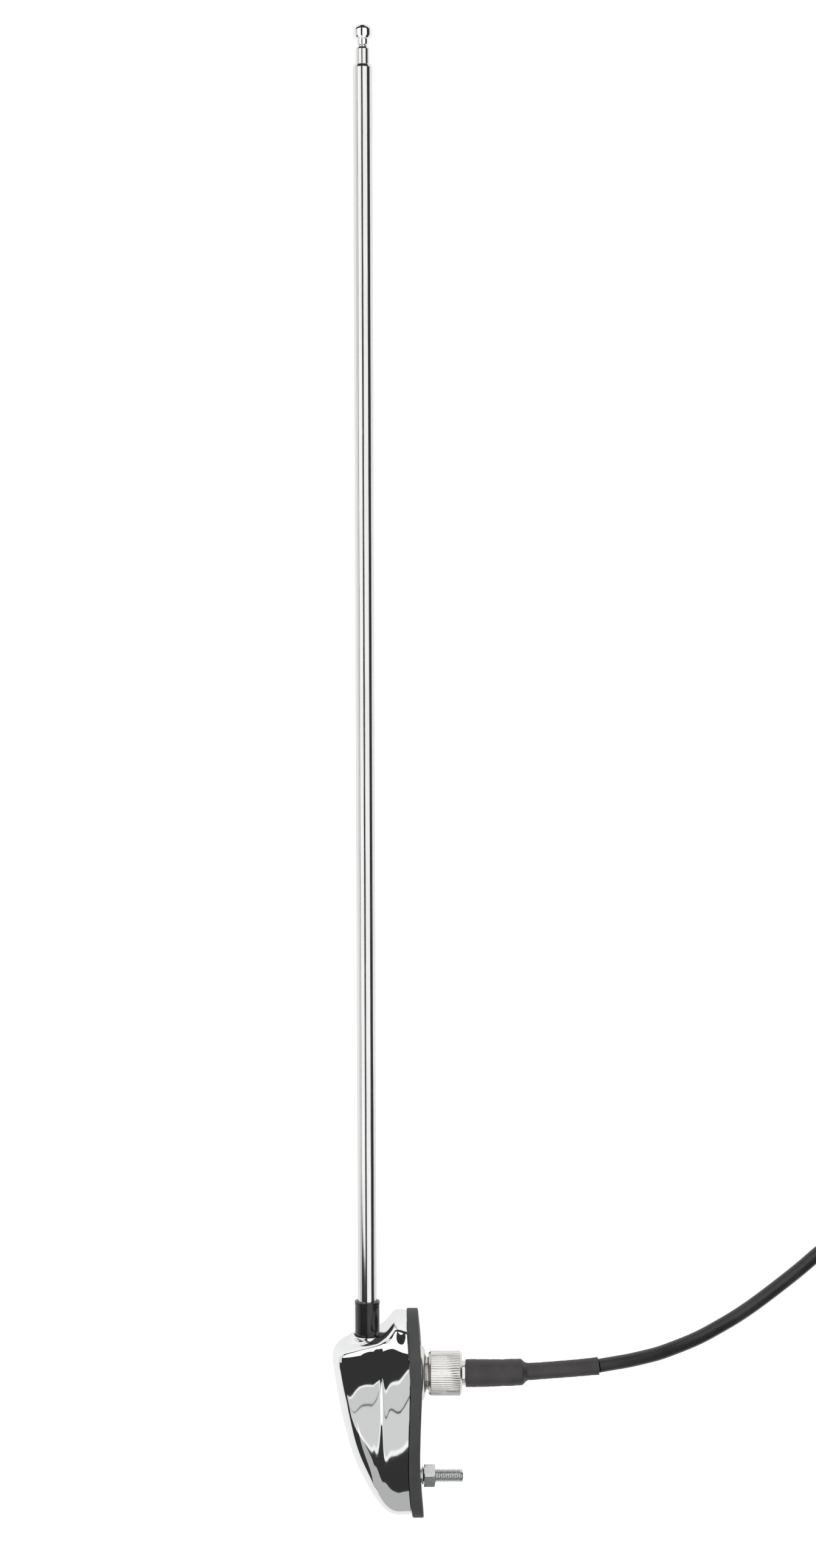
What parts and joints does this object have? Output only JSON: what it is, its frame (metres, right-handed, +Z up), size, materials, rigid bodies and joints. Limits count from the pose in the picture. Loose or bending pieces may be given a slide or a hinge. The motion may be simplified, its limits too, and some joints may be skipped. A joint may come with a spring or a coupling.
{
  "type": "side-mount telescopic vehicle aerial",
  "caption": "Telescopic whip aerial on a chromed side-mount base with a rubber pad, and a coaxial lead with a screw connector.",
  "frame": {"origin": "on the pad's panel face, half-way between the connector's axis and the stud's axis", "axes": "+X out of the panel face, the way the connector and the stud point; +Y along the mast to its tip; +Z up from the surface that the aerial lies on"},
  "size_m": [0.2577, 0.5451, 0.036],
  "materials": {
    "chrome_casting": "bright chrome plate over a smooth zinc casting",
    "mast_stainless": "drawn stainless tube, bright, with fine lengthwise draw lines",
    "nickel_plate": "satin-bright nickel plate on turned brass",
    "zinc_plated_steel": "clear zinc plate on turned and pressed steel",
    "spring_steel": "plain spring steel",
    "brass": "turned brass, plain",
    "tinned_copper": "tinned copper tube, crimped",
    "pad_rubber": "matt moulded rubber with a little dust",
    "black_plastic": "glossy black moulding",
    "white_plastic": "natural polyethylene",
    "heat_shrink": "matt black heat-shrink sleeve",
    "lead_sheath": "semi-gloss black PVC sheath"
  },
  "bodies": {
    "root": {"housing": "chrome_casting", "rubber_pad": "pad_rubber", "back_plate": "zinc_plated_steel", "insulating_sleeve": "black_plastic", "sleeve_clip": "spring_steel", "mast_outer_tube": "mast_stainless", "mast_foot_plug": "brass", "foot_nut": "zinc_plated_steel", "contact_strip": "brass", "connector_stem": "nickel_plate", "stem_lock_nut": "zinc_plated_steel", "stem_insulator": "white_plastic", "centre_socket": "brass", "mounting_stud": "zinc_plated_steel", "connector_body": "nickel_plate", "connector_dielectric": "white_plastic", "connector_pin": "brass", "crimp_ferrule": "tinned_copper", "heat_shrink": "heat_shrink", "lead": "lead_sheath", "lead_coil": "lead_sheath", "coil_tie": "black_plastic", "lead_tail": "lead_sheath", "plug_boot": "black_plastic", "plug_shell": "nickel_plate", "plug_insulator": "white_plastic", "plug_pin": "nickel_plate"},
    "middle_section": {"mast_middle_tube": "mast_stainless", "middle_friction_sleeve": "brass", "middle_end_plug": "brass"},
    "inner_section": {"mast_inner_rod": "mast_stainless", "rod_friction_sleeve": "brass", "tip_knob": "chrome_casting"},
    "coupling_nut": {"coupling_nut": "nickel_plate"},
    "stud_bush": {"stud_bush": "zinc_plated_steel"},
    "hex_nut": {"hex_nut": "zinc_plated_steel"}
  },
  "joints": [
    {"name": "middle_slide", "type": "slide", "parent": "root", "child": "middle_section", "axis": [0, 1, 0], "range_m": [0, 0.405]},
    {"name": "rod_slide", "type": "slide", "parent": "middle_section", "child": "inner_section", "axis": [0, 1, 0], "range_m": [0, 0.4]},
    {"name": "coupling_nut_spin", "type": "hinge", "parent": "root", "child": "coupling_nut", "pos_m": [0, 0.01875, 0], "axis": [1, 0, 0], "continuous": true},
    {"name": "bush_travel", "type": "slide", "parent": "root", "child": "stud_bush", "axis": [1, 0, 0], "range_m": [0, 0.008]},
    {"name": "nut_turn", "type": "hinge", "parent": "stud_bush", "child": "hex_nut", "pos_m": [0, -0.01875, 0], "axis": [1, 0, 0], "range_deg": [0, 3600]}
  ],
  "couplings": [
    {"joint": "nut_turn", "follows": "bush_travel", "rad_per_m": 7854}
  ]
}
